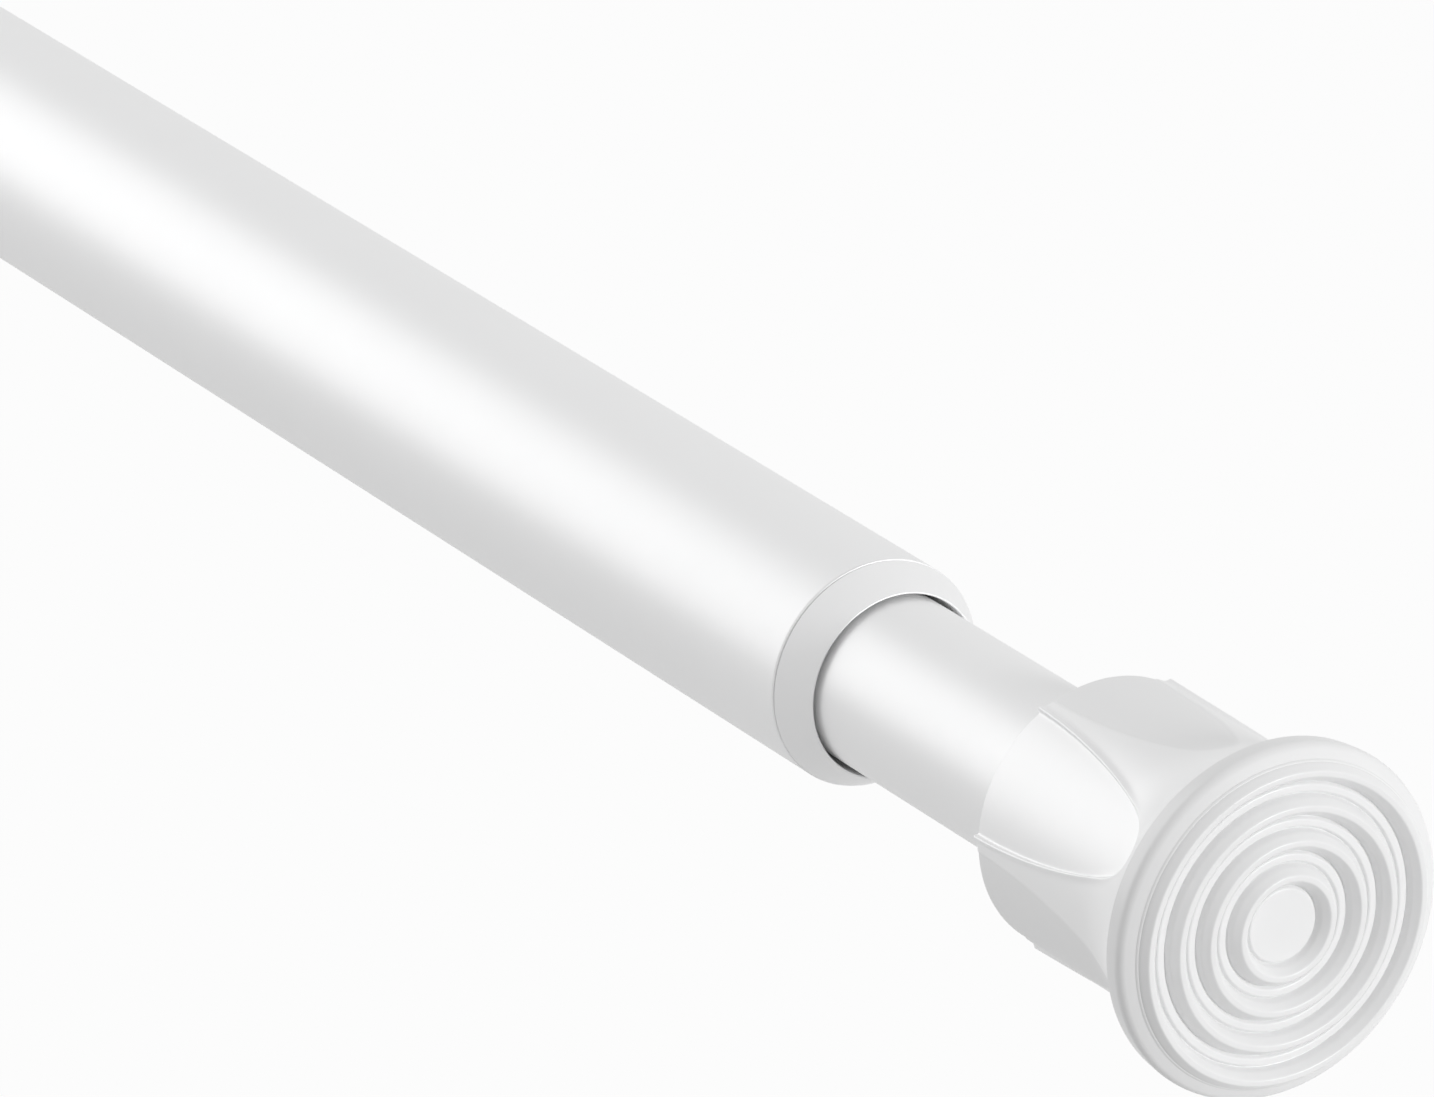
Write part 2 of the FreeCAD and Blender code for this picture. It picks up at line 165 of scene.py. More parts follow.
class HubSizes(bpy.types.PropertyGroup):
    length: length("Length", 29.4 * MILLIMETRE, "Length of the hub behind the pad")
    sleeve: length("Sleeve radius", 14.68 * MILLIMETRE, "Radius of the sleeve seen in the windows")
    spigot: length("Spigot radius", 16.8 * MILLIMETRE, "Radius of the spigot inside the pad")
    fit: length("Fit", 0.05 * MILLIMETRE, "Gap around a glued tube or stud")
    chamfer: length("Socket chamfer", 0.6 * MILLIMETRE, "Chamfer at the socket's mouth")
    socket_depth: length("Socket depth", HUB_REAR - OUTER_START, "Depth of the tube's socket")
    stud_radius: length("Stud radius", 7.8 * MILLIMETRE, "Radius of the pad's stud")
    stud_depth: length("Stud hole depth", 5.0 * MILLIMETRE, "Depth of the hole for the pad's stud")
    flare_rear: length("Flare rear radius", 14.78 * MILLIMETRE, "Radius of the hub's skin behind the flare")
    flare_straight: length("Flare straight", 18.8 * MILLIMETRE, "Straight length behind the flare")
    panel_half_angle: angle("Panel half angle", 24.7, "Half the angle of a matte panel at the rear")
    panel_length: length("Panel length", 22.0 * MILLIMETRE, "Length of a matte panel from the rear edge")
    panel_recess: length("Panel recess", 0.12 * MILLIMETRE, "Depth of a matte panel below the skin")
    panel_edge: plain("Panel edge", 0.06, "Width of a panel's sloping edge, as a share of the panel")
    border_height: length("Border height", 0.58 * MILLIMETRE, "Height of the raised border around a window")
    border_width: length("Border width", 0.5 * MILLIMETRE, "Width of the raised border around a window")
    window_count: count("Windows", 3, "Arched windows around the hub")
    window_half_angle: angle("Window half angle", 28.0, "Half the angle that a window takes up at the rear")
    window_length: length("Window length", 27.6 * MILLIMETRE, "Length of a window from the rear edge")
    arch_power: plain("Arch power", 1.7, "Power of a window's arch: 2 is an ellipse, less is sharper")
    floor_fillet: length("Floor fillet", 0.32 * MILLIMETRE, "Fillet between a window's wall and its floor")
    crest_rounding: length("Crest rounding", 0.26 * MILLIMETRE, "Rounding along a window's edge")
    rear_rounding: length("Rear rounding", 0.3 * MILLIMETRE, "Rounding of the hub's rear edge")
    outer_turn: angle("Outer hub turn", 30.0, "Turn of the outer tube's hub about the rod")
    inner_turn: angle("Inner hub turn", 32.6, "Turn of the inner tube's hub about the rod")


class PadSizes(bpy.types.PropertyGroup):
    rear_radius: length("Rear radius", 18.75 * MILLIMETRE, "Radius of the pad's rear edge")
    rim_length: length("Rim length", 3.35 * MILLIMETRE, "Length of the rim behind the valleys")
    rim_drop: length("Rim drop", 0.85 * MILLIMETRE, "Step from the last valley back to the rim")
    rim_rounding: length("Rim rounding", 1.2 * MILLIMETRE, "Rounding of the rim's front edge")
    edge_rounding: length("Edge rounding", 0.25 * MILLIMETRE, "Rounding of the rear edge")
    web: length("Web", 2.15 * MILLIMETRE, "Thickness behind the valleys")
    rib_count: count("Ribs", 4, "Rings of ribs on the face")
    rib_first: length("First rib", 5.35 * MILLIMETRE, "Radius of the first rib")
    rib_pitch: length("Rib pitch", 3.65 * MILLIMETRE, "Distance from rib to rib")
    rib_height: length("Rib height", 1.15 * MILLIMETRE, "Height of a rib above the valley")
    rib_crest: length("Rib crest", 0.6 * MILLIMETRE, "Width of a rib's crest")
    rib_foot: length("Rib foot", 2.4 * MILLIMETRE, "Width of a rib's foot")
    crest_softness: length("Crest softness", 0.16 * MILLIMETRE, "Rounding along a rib's crest")
    foot_softness: length("Foot softness", 0.06 * MILLIMETRE, "Rounding along a rib's foot")
    groove_depth: length("Groove depth", 0.42 * MILLIMETRE, "Depth of the fine groove along a rib's foot")
    groove_width: length("Groove width", 0.17 * MILLIMETRE, "Width of the fine groove along a rib's foot")
    face_rows: count("Face rows", 230, "Rows of faces from the centre to the rim")
    segments: count("Segments", 192, "Faces around the pad")


class LockSizes(bpy.types.PropertyGroup):
    wire_radius: length("Wire radius", 0.9 * MILLIMETRE, "Radius of the spring's wire")
    turns: count("Turns", 6, "Turns of the spring")
    kept: plain("Kept length", 23.0 / 43.0, "Share of the spring's length that is left when it is pressed")
    finger_count: count("Fingers", 4, "Fingers that the expansion sleeve is slit into")
    finger_length: length("Finger length", 20.0 * MILLIMETRE, "Length of the expansion sleeve's fingers")
    finger_slit: length("Finger slit", 1.8 * MILLIMETRE, "Width of the slits between the fingers")
    sleeve_bore: length("Sleeve bore", 3.1 * MILLIMETRE, "Radius of the bore in the sleeve's base")
    sleeve_chamfer: length("Sleeve chamfer", 0.7 * MILLIMETRE, "Chamfer at both ends of the sleeve")
    cone_mouth: length("Cone mouth", 9.2 * MILLIMETRE, "Radius of the tapered bore's mouth before it spreads")
    cone_half_angle: angle("Cone half angle", 9.5, "Half the angle of the tapered bore")
    spread: length("Spread", 0.3 * MILLIMETRE, "How far the fingers stand open for the drawn cone")


class Finish(bpy.types.PropertyGroup):
    tube_paint: colour("Tube paint", (0.902, 0.903, 0.905), "Satin lacquer on both tubes")
    cap_plastic: colour("Cap plastic", (0.902, 0.903, 0.905), "Moulded hubs and collar")
    pad_rubber: colour("Pad rubber", (0.87, 0.871, 0.873), "Soft wall pads")
    guide_plastic: colour("Guide plastic", (0.74, 0.72, 0.65), "Plug, sleeve and cone of the lock")
    zinc_steel: colour("Zinc plate", (0.62, 0.63, 0.65), "Spindle, washers and nuts")
    spring_steel: colour("Spring steel", (0.33, 0.33, 0.34), "Spring and retaining clip")
    brass: colour("Brass", (0.72, 0.55, 0.26), "Nut in the wedge cone")
    # Painted shade: the base colour is darkened on the hubs' recessed panels
    matte_shade: plain("Panel painted shade", 0.045, "How much darker the hubs' matte panels are")
    matte_roughness: plain("Matte roughness", 0.2, "How much rougher the hubs' matte panels are")


class Stage(bpy.types.PropertyGroup):
    azimuth: angle("Azimuth", 56.556, "Camera's turn about the upright axis")
    elevation: angle("Elevation", 24.122, "Camera's height as an angle")
    distance: length("Distance", 1.1586, "Camera's distance from the target")
    target: length("Target", 0.4, "Place along the rod that the camera is measured from")
    target_column: plain("Target column", 1077.472, "Image column where the target lies")
    target_row: plain("Target row", 798.149, "Image row where the target lies")
    focal_pixels: plain("Focal length", 11441.1, "Focal length in image pixels")
    floor_drop: length("Floor drop", 0.22, "Height of the rod's axis above the floor")
    floor_half: length("Floor half", 4.0, "Half the floor's width")
    floor_shade: plain("Floor shade", 0.62, "Share of the light that the floor throws back")
    floor_white: plain("Floor white", 0.95, "Share of white in the floor that the camera sees")
    ambient: plain("Ambient", 0.27, "Strength of the light from all round, at the horizon")
    ambient_rise: plain("Ambient rise", 0.43, "How much stronger the light from straight above is")


def settings():
    return bpy.context.scene.rod


class RodSettings(bpy.types.PropertyGroup):
    tube: PointerProperty(type=TubeSizes)
    collar: PointerProperty(type=CollarSizes)
    hub: PointerProperty(type=HubSizes)
    pad: PointerProperty(type=PadSizes)
    lock: PointerProperty(type=LockSizes)
    finish: PointerProperty(type=Finish)
    stage: PointerProperty(type=Stage)


# Mesh helpers


def add_object(name, data):
    piece = bpy.data.objects.new(name, data)
    bpy.context.scene.collection.objects.link(piece)
    return piece


def new_piece(name, vertices, faces, matte=None):
    """A finished mesh object, with the matte share of each point where it has one."""
    mesh = bpy.data.meshes.new(name)
    mesh.from_pydata([tuple(v) for v in vertices], [], faces)
    if matte is not None:
        mesh.attributes.new(PANEL_MATTE_AND_SHADE, "FLOAT", "POINT").data.foreach_set("value", matte)
    finish_mesh(mesh, SMOOTH_ANGLE)
    return add_object(name, mesh)


def finish_mesh(mesh, smooth_angle):
    """Merges seams, drops slivers, turns faces outwards and shades a mesh smooth up to an angle."""
    shape = bmesh.new()
    shape.from_mesh(mesh)
    bmesh.ops.remove_doubles(shape, verts=shape.verts, dist=MERGE_DISTANCE)
    bmesh.ops.dissolve_degenerate(shape, edges=shape.edges, dist=SLIVER_LENGTH)
    bmesh.ops.recalc_face_normals(shape, faces=shape.faces)
    shape.to_mesh(mesh)
    shape.free()
    mesh.polygons.foreach_set("use_smooth", [True] * len(mesh.polygons))
    mesh.set_sharp_from_angle(angle=math.radians(smooth_angle))
    mesh.update()


def rounded(corners, steps=5):
    """A closed outline of (x, radius) points from corners of (x, radius, rounding)."""
    outline = []
    total = len(corners)
    for k, (x, radius, rounding) in enumerate(corners):
        here = np.array((x, radius))
        if rounding <= 0:
            outline.append(here)
            continue
        before = np.array(corners[k - 1][:2]) - here
        after = np.array(corners[(k + 1) % total][:2]) - here
        before /= np.linalg.norm(before)
        after /= np.linalg.norm(after)
        half = math.acos(max(-1.0, min(1.0, float(before @ after)))) / 2
        reach = rounding / math.tan(half)
        middle = before + after
        centre = here + middle / np.linalg.norm(middle) * rounding / math.sin(half)
        first = here + before * reach - centre
        last = here + after * reach - centre
        for step in range(steps + 1):
            share = step / steps
            arm = first * (1 - share) + last * share
            outline.append(centre + arm / np.linalg.norm(arm) * rounding)
    return outline


def lathe(outline, segments):
    """Vertices and faces of a closed outline turned about the rod's axis."""
    vertices = []
    faces = []
    rows = len(outline)
    for x, radius in outline:
        for k in range(segments):
            turn = 2 * math.pi * k / segments
            vertices.append((x, radius * math.cos(turn), radius * math.sin(turn)))
    for row in range(rows):
        below = row * segments
        above = ((row + 1) % rows) * segments
        if outline[row][1] == 0 and outline[(row + 1) % rows][1] == 0:
            continue
        for k in range(segments):
            beside = (k + 1) % segments
            faces.append((below + k, below + beside, above + beside, above + k))
    return vertices, faces


def at_inner_end(vertices):
    """Points of a cap turned round to face +X at the rod's far end."""
    points = np.array(vertices, float)
    return np.stack([ROD_LENGTH - points[:, 0], -points[:, 1], points[:, 2]], axis=1)


def dress(piece, body, node, slot):
    """Gives a finished piece its material and its body, and hides the CAD node that it stands for."""
    piece.data.materials.clear()
    piece.data.materials.append(finish_material(slot))
    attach(piece, body)
    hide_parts(node)


# Geometry node helpers


class Tree:
    """A short way to build a node tree."""

    def __init__(self, tree):
        self.tree = tree

    def add(self, kind, **values):
        node = self.tree.nodes.new(kind)
        for key, value in values.items():
            setattr(node, key, value)
        return node

    def link(self, source, target):
        self.tree.links.new(source, target)

    def math(self, operation, *inputs):
        node = self.add("ShaderNodeMath", operation=operation)
        for socket, value in zip(node.inputs, inputs):
            if isinstance(value, (int, float)):
                socket.default_value = value
            else:
                self.link(value, socket)
        return node.outputs[0]


def geometry_tree(name, sizes):
    """A geometry tree with a geometry and material input, and a named input for each size."""
    group = bpy.data.node_groups.new(name, "GeometryNodeTree")
    group.interface.new_socket("Geometry", in_out="INPUT", socket_type="NodeSocketGeometry")
    group.interface.new_socket("Geometry", in_out="OUTPUT", socket_type="NodeSocketGeometry")
    for label, value in sizes.items():
        kind = "NodeSocketInt" if isinstance(value, int) else "NodeSocketFloat"
        group.interface.new_socket(label, in_out="INPUT", socket_type=kind)
    group.interface.new_socket("Material", in_out="INPUT", socket_type="NodeSocketMaterial")
    tree = Tree(group)
    start = tree.add("NodeGroupInput")
    end = tree.add("NodeGroupOutput")
    return tree, start, end


def end_tree(tree, start, end, geometry):
    """Ends a tree in real geometry with its material."""
    realize = tree.add("GeometryNodeRealizeInstances")
    paint = tree.add("GeometryNodeSetMaterial")
    tree.link(geometry, realize.inputs["Geometry"])
    tree.link(realize.outputs["Geometry"], paint.inputs["Geometry"])
    tree.link(start.outputs["Material"], paint.inputs["Material"])
    tree.link(paint.outputs["Geometry"], end.inputs["Geometry"])


def grow(piece, tree, sizes, material, smooth_angle):
    """Runs a geometry tree on a piece and keeps the result as its plain mesh."""
    modifier = piece.modifiers.new(tree.tree.name, "NODES")
    modifier.node_group = tree.tree
    values = dict(sizes, Material=material)
    for item in tree.tree.interface.items_tree:
        if item.in_out == "INPUT" and item.name in values:
            modifier[item.identifier] = values[item.name]
    bpy.context.view_layer.update()
    evaluated = piece.evaluated_get(bpy.context.evaluated_depsgraph_get())
    mesh = bpy.data.meshes.new_from_object(evaluated)
    piece.modifiers.remove(modifier)
    piece.data = mesh
    mesh.name = piece.name
    finish_mesh(mesh, smooth_angle)


# Materials


def surface_grain():
    """A shared effect: soft mottling of a colour, a fine grain as height, and roughness that follows it."""
    name = "surface_grain"
    if name in bpy.data.node_groups:
        return bpy.data.node_groups[name]
    group = bpy.data.node_groups.new(name, "ShaderNodeTree")
    face = group.interface
    face.new_socket("Vector", in_out="INPUT", socket_type="NodeSocketVector")
    face.new_socket("Color", in_out="INPUT", socket_type="NodeSocketColor")
    for label in ("Mottle", "Mottle Scale", "Grain Scale", "Roughness", "Roughness Spread"):
        face.new_socket(label, in_out="INPUT", socket_type="NodeSocketFloat")
    face.new_socket("Color", in_out="OUTPUT", socket_type="NodeSocketColor")
    face.new_socket("Roughness", in_out="OUTPUT", socket_type="NodeSocketFloat")
    face.new_socket("Height", in_out="OUTPUT", socket_type="NodeSocketFloat")
    tree = Tree(group)
    start = tree.add("NodeGroupInput")
    end = tree.add("NodeGroupOutput")
    cloud = tree.add("ShaderNodeTexNoise")
    cloud.inputs["Detail"].default_value = MOTTLE_DETAIL
    grain = tree.add("ShaderNodeTexNoise")
    grain.inputs["Detail"].default_value = GRAIN_DETAIL
    for texture, scale in ((cloud, "Mottle Scale"), (grain, "Grain Scale")):
        tree.link(start.outputs["Vector"], texture.inputs["Vector"])
        tree.link(start.outputs[scale], texture.inputs["Scale"])
    drift = tree.math("SUBTRACT", cloud.outputs["Fac"], NOISE_MIDDLE)
    shade = tree.math("MULTIPLY_ADD", drift, start.outputs["Mottle"], 1.0)
    tint = tree.add("ShaderNodeVectorMath", operation="SCALE")
    tree.link(start.outputs["Color"], tint.inputs[0])
    tree.link(shade, tint.inputs["Scale"])
    tree.link(tint.outputs[0], end.inputs["Color"])
    spread = tree.math("SUBTRACT", grain.outputs["Fac"], NOISE_MIDDLE)
    rough = tree.math("MULTIPLY_ADD", spread, start.outputs["Roughness Spread"], start.outputs["Roughness"])
    tree.link(rough, end.inputs["Roughness"])
    tree.link(grain.outputs["Fac"], end.inputs["Height"])
    return group


Look = namedtuple(
    "Look", "mottle mottle_scale grain_scale roughness spread bump_strength bump_depth metallic"
)

FINISHES = {
    "tube_paint": Look(0.02, 90.0, 900.0, 0.45, 0.08, 0.05, 0.00002, 0.3),
    "cap_plastic": Look(0.02, 120.0, 1100.0, 0.44, 0.08, 0.05, 0.00001, 0.28),
    "pad_rubber": Look(0.03, 160.0, 1200.0, 0.30, 0.08, 0.05, 0.00001, 0.0),
    "guide_plastic": Look(0.08, 150.0, 1200.0, 0.42, 0.14, 0.10, 0.00002, 0.0),
    "zinc_steel": Look(0.16, 260.0, 1300.0, 0.34, 0.22, 0.08, 0.00001, 1.0),
    "spring_steel": Look(0.20, 300.0, 1500.0, 0.38, 0.20, 0.08, 0.00001, 1.0),
    "brass": Look(0.12, 240.0, 1300.0, 0.30, 0.18, 0.08, 0.00001, 1.0),
}


def finish_material(slot):
    """The material of a slot, made once: its colour and look, and the hubs' matte panels, rougher and
    darkened by painted shade.
    """
    name = slot + "_finish"
    if name in bpy.data.materials:
        return bpy.data.materials[name]
    finish = settings().finish
    look = FINISHES[slot]
    material = bpy.data.materials.new(name)
    material.use_nodes = True
    tree = Tree(material.node_tree)
    tree.tree.nodes.clear()
    place = tree.add("ShaderNodeTexCoord")
    grain = tree.add("ShaderNodeGroup", node_tree=surface_grain())
    shader = tree.add("ShaderNodeBsdfPrincipled")
    bump = tree.add("ShaderNodeBump")
    out = tree.add("ShaderNodeOutputMaterial")
    grain.inputs["Color"].default_value = (*getattr(finish, slot), 1.0)
    grain.inputs["Mottle"].default_value = look.mottle
    grain.inputs["Mottle Scale"].default_value = look.mottle_scale
    grain.inputs["Grain Scale"].default_value = look.grain_scale
    grain.inputs["Roughness"].default_value = look.roughness
    grain.inputs["Roughness Spread"].default_value = look.spread
    bump.inputs["Strength"].default_value = look.bump_strength
    bump.inputs["Distance"].default_value = look.bump_depth
    shader.inputs["Metallic"].default_value = look.metallic
    tree.link(place.outputs["Object"], grain.inputs["Vector"])
    panel = tree.add("ShaderNodeAttribute", attribute_name=PANEL_MATTE_AND_SHADE).outputs["Fac"]
    # Painted shade: the base colour is darkened where the panel share is high
    shade = tree.math("MULTIPLY_ADD", panel, -finish.matte_shade, 1.0)
    tint = tree.add("ShaderNodeVectorMath", operation="SCALE")
    tree.link(grain.outputs["Color"], tint.inputs[0])
    tree.link(shade, tint.inputs["Scale"])
    tree.link(tint.outputs[0], shader.inputs["Base Color"])
    rough = tree.math("MULTIPLY_ADD", panel, finish.matte_roughness, grain.outputs["Roughness"])
    tree.link(rough, shader.inputs["Roughness"])
    tree.link(grain.outputs["Height"], bump.inputs["Height"])
    tree.link(bump.outputs["Normal"], shader.inputs["Normal"])
    tree.link(shader.outputs["BSDF"], out.inputs["Surface"])
    return material


# Tubes and collar


def tube(name, start, end, radius):
    """A tube with rounded cut ends."""
    sizes = settings().tube
    bore = radius - sizes.wall
    corners = [
        (start, bore, sizes.rounding),
        (start, radius, sizes.rounding),
        (end, radius, sizes.rounding),
        (end, bore, sizes.rounding),
    ]
    return new_piece(name, *lathe(rounded(corners), sizes.segments))


def collar():
    """A spigot in the tube's bore, a rim with a fine groove in front, and a tapered nose."""
    sizes = settings().collar
    walls = settings().tube
    spigot = OUTER_RADIUS - walls.wall - sizes.fit
    mouth = INNER_RADIUS + sizes.mouth_gap
    guide = INNER_RADIUS + sizes.guide_gap
    rim_rounding = sizes.rounding / 3
    lip_rounding = sizes.rounding / 2
    back = OUTER_END - sizes.set_back
    groove = back + sizes.rim
    front = COLLAR_FRONT + sizes.reach
    corners = [
        (COLLAR_START, guide, sizes.rounding),
        (COLLAR_START, spigot, sizes.rounding),
        (back, spigot, 0),
        (back, OUTER_RADIUS, rim_rounding),
        (groove, OUTER_RADIUS, rim_rounding),
        (groove + sizes.groove_width / 2, OUTER_RADIUS - sizes.groove_depth, 0),
        (groove + sizes.groove_width, OUTER_RADIUS - sizes.groove_width / 2, 0),
        (front, mouth + sizes.lip, lip_rounding),
        (front, mouth, lip_rounding),
        (front - sizes.mouth_depth, mouth, 0),
        (front - sizes.mouth_depth - sizes.mouth_gap, guide, 0),
    ]
    return new_piece("tube_collar_moulded", *lathe(rounded(corners), walls.segments))


# End hubs


def hub_sector(hub, columns=160, floor_rows=20, curve_rows=6, web_rows=60, crowding=1.3, wall_share=0.45):
    """Rows of (depth, turn, radius, matte) over one window and half of each web beside it, floor first."""
    half_step = math.pi / hub.window_count
    rear = hub.rear_rounding
    reach = hub.window_length - rear
    front = hub.length - rear
    corner = math.atan2(front / reach, half_step / hub.window_half_angle)
    quarter = columns // 4
    first = np.linspace(0.0, corner, quarter + 1)
    second = np.linspace(corner, math.pi / 2, quarter + 1)[1:]
    half = np.concatenate([first, second])
    ray = np.concatenate([half, math.pi - half[-2::-1]])
    power = hub.arch_power
    rise = np.sin(ray)
    rise[-1] = 0.0
    bulge = (np.abs(np.cos(ray)) ** power + rise**power) ** (-1 / power)
    across = np.cos(ray) * bulge
    along = rise * bulge
    sideways = np.abs(across) ** (power - 1) / (hub.window_half_angle * hub.sleeve)
    steepness = np.hypot(sideways, along ** (power - 1) / reach)
    side = half_step / np.maximum(hub.window_half_angle * np.abs(across), NEVER_ZERO)
    ahead = front / np.maximum(reach * along, NEVER_ZERO)
    edge = np.minimum(side, ahead)

    def place(level):
        depth = rear + reach * level * along
        turn = hub.window_half_angle * level * across
        return depth, np.clip(turn, -half_step, half_step)

    def skin(level):
        depth, turn = place(level)
        beyond = np.maximum(0.0, depth - hub.flare_straight) / (hub.length - hub.flare_straight)
        radius = hub.flare_rear + (HUB_FRONT_RADIUS - hub.flare_rear) * beyond**2
        beside = (level - 1) / steepness / hub.border_width
        border = hub.border_height * np.exp(-(beside**2)) * (1 - depth / hub.length)
        # Share of a recessed panel: the material makes it rougher and darkens its colour as painted shade
        from_web = half_step - np.abs(turn)
        inside = 1 - np.hypot(from_web / hub.panel_half_angle, depth / hub.panel_length)
        matte = np.clip(0.5 + inside / hub.panel_edge, 0.0, 1.0)
        matte = matte**2 * (3 - 2 * matte)
        return radius + border - hub.panel_recess * matte, matte

    top = skin(np.ones_like(ray))[0]
    wall = top - hub.sleeve
    fillet = np.minimum(hub.floor_fillet, wall_share * wall)
    crest = np.minimum(hub.crest_rounding, wall_share * wall)
    polished = np.zeros_like(ray)
    rows = []
    for row in range(floor_rows):
        level = (1 - fillet * steepness) * row / floor_rows
        rows.append((*place(level), np.full_like(ray, hub.sleeve), polished))
    for row in range(curve_rows + 1):
        bend = math.pi / 2 * row / curve_rows
        level = 1 - fillet * (1 - math.sin(bend)) * steepness
        rows.append((*place(level), hub.sleeve + fillet * (1 - math.cos(bend)), polished))
    for row in range(curve_rows + 1):
        bend = math.pi / 2 * row / curve_rows
        level = 1 + crest * (1 - math.cos(bend)) * steepness
        rows.append((*place(level), skin(level)[0] - crest * (1 - math.sin(bend)), polished))
    begin = 1 + crest * steepness
    for row in range(1, web_rows + 1):
        share = (row / web_rows) ** crowding
        level = begin + (edge - begin) * share
        rows.append((*place(level), *skin(level)))
    return rows


def hub_shape(hub, socket_radius, rear_rows=6):
    """Points, faces and matte shares of a hub in its cap's place, with its first window towards +Y."""
    rows = hub_sector(hub)
    width = len(rows[0][0])
    points = []
    faces = []
    matte = []
    step = 2 * math.pi / hub.window_count
    for k in range(hub.window_count):
        base = len(points)
        for depth, turn, radius, share in rows:
            around = turn + k * step
            y = radius * np.cos(around)
            z = radius * np.sin(around)
            points.extend(np.stack([HUB_REAR - depth, y, z], axis=1))
            matte.extend(share)
        for row in range(len(rows) - 1):
            for column in range(width - 1):
                a = base + row * width + column
                faces.append((a, a + 1, a + width + 1, a + width))
    rear_loop, front_loop = hub_loops(hub, rows)
    soft = hub.rear_rounding
    rings = []
    for row in range(rear_rows + 1):
        bend = math.pi / 2 * row / rear_rows
        rings.append((HUB_REAR - soft * (1 - math.sin(bend)), -soft * (1 - math.cos(bend)), None))
    floor_x = HUB_REAR - hub.socket_depth
    rings.append((HUB_REAR, 0.0, socket_radius + hub.chamfer))
    rings.append((HUB_REAR - hub.chamfer, 0.0, socket_radius))
    rings.append((floor_x, 0.0, socket_radius))
    rings.append((floor_x, 0.0, 0.0))
    add_rings(points, faces, matte, rear_loop, rings)
    shoulder_x = HUB_REAR - hub.length
    stud = hub.stud_radius + hub.fit
    stud_x = HUB_SPIGOT + hub.stud_depth
    rings = [
        (shoulder_x, 0.0, None),
        (shoulder_x, 0.0, hub.spigot),
        (HUB_SPIGOT, 0.0, hub.spigot),
        (HUB_SPIGOT, 0.0, stud),
        (stud_x, 0.0, stud),
        (stud_x, 0.0, 0.0),
    ]
    add_rings(points, faces, matte, front_loop, rings)
    return points, faces, matte


def hub_loops(hub, rows):
    """The open edges of the hub's skin at its rear and at the pad, as lists of (turn, radius, matte)."""
    step = 2 * math.pi / hub.window_count
    front_depth = hub.length - MERGE_DISTANCE
    rear_loop = []
    front_loop = []
    for k in range(hub.window_count):
        left = [(t[-1] + k * step, r[-1], m[-1]) for _, t, r, m in reversed(rows)]
        right = [(t[0] + k * step, r[0], m[0]) for _, t, r, m in rows]
        rear_loop.extend(left + right[1:-1])
        ahead = [(t + k * step, r, m) for d, t, r, m in zip(*rows[-1]) if d >= front_depth]
        front_loop.extend(ahead[::-1][:-1])
    return rear_loop, front_loop


def add_rings(points, faces, matte, loop, rings):
    """Closes an open edge with rings that keep its turns, each at a place and an own or given radius."""
    width = len(loop)
    base = len(points)
    for x, change, radius in rings:
        for turn, own, share in loop:
            r = own + change if radius is None else radius
            points.append((x, r * math.cos(turn), r * math.sin(turn)))
            matte.append(share if radius is None else 0.0)
    for row in range(len(rings) - 1):
        for column in range(width):
            beside = (column + 1) % width
            a = base + row * width
            faces.append((a + column, a + beside, a + width + beside, a + width + column))


def turned(points, turn):
    """Points turned about the rod's axis."""
    points = np.array(points, float)
    c, s = math.cos(turn), math.sin(turn)
    y = points[:, 1] * c - points[:, 2] * s
    z = points[:, 1] * s + points[:, 2] * c
    return np.stack([points[:, 0], y, z], axis=1)


# Wall pads


def pad_shell():
    """The pad's rim, back and stud, open where the ribbed face goes."""
    pad = settings().pad
    hub = settings().hub
    valley = PAD_FACE + pad.rib_height
    back = valley + pad.rim_length
    pocket = valley + pad.web
    bore = hub.spigot + hub.fit
    corners = [
        (valley, face_radius(), 0),
        (valley + pad.rim_drop, PAD_RADIUS, pad.rim_rounding),
        (back, pad.rear_radius, pad.edge_rounding),
        (back, bore, 0),
        (pocket, bore, 0),
        (pocket, hub.stud_radius, 0),
        (PAD_STUD_END, hub.stud_radius, 0),
        (PAD_STUD_END, 0, 0),
    ]
    outline = rounded(corners, steps=8)
    vertices, faces = lathe(outline, pad.segments)
    last = pad.segments * (len(outline) - 1)
    faces = [f for f in faces if not (min(f) < pad.segments and max(f) >= last)]
    return vertices, faces


def face_radius():
    """Radius of the ribbed face, out to the last rib's foot."""
    pad = settings().pad
    return pad.rib_first + (pad.rib_count - 1) * pad.rib_pitch + pad.rib_foot / 2


